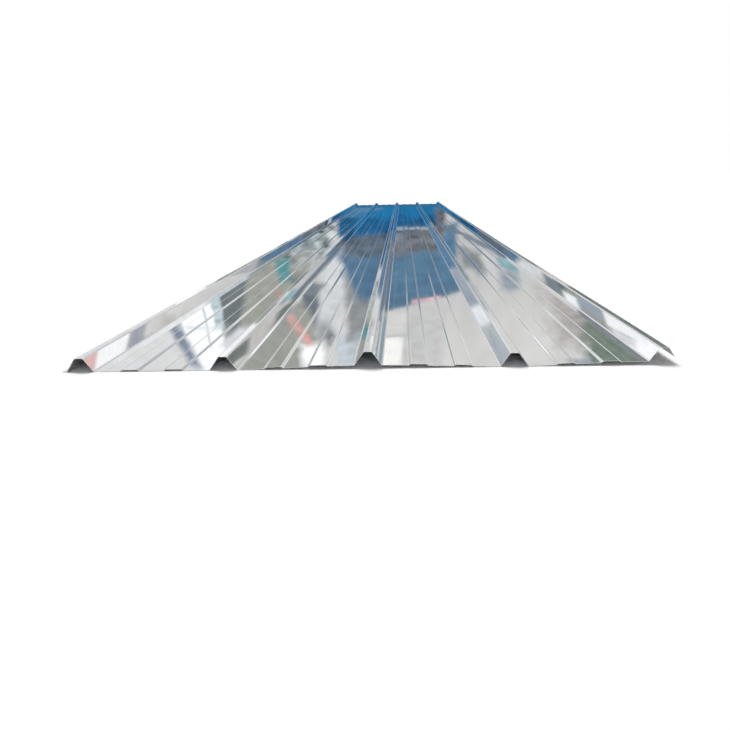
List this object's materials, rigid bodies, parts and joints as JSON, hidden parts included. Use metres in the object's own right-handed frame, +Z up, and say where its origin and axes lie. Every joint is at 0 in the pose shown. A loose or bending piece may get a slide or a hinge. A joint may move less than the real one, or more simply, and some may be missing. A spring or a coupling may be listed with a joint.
{
  "type": "corrugated metal sheet",
  "caption": "Roll-formed trapezoidal metal sheet with raised ribs, low stiffeners in its pans and side-lap edges, for roofing and cladding.",
  "frame": {"origin": "under the middle of the sheet's outline, level with the underside of the pans", "axes": "+X across the ribs from the edge with the bearing foot to the edge with the short leg, +Y along the ribs, +Z up out of the pans"},
  "size_m": [0.883, 6, 0.0205],
  "materials": {
    "coated_steel": "bright zinc-coated, cold rolled"
  },
  "bodies": {
    "root": {"sheet": "coated_steel"}
  },
  "joints": []
}
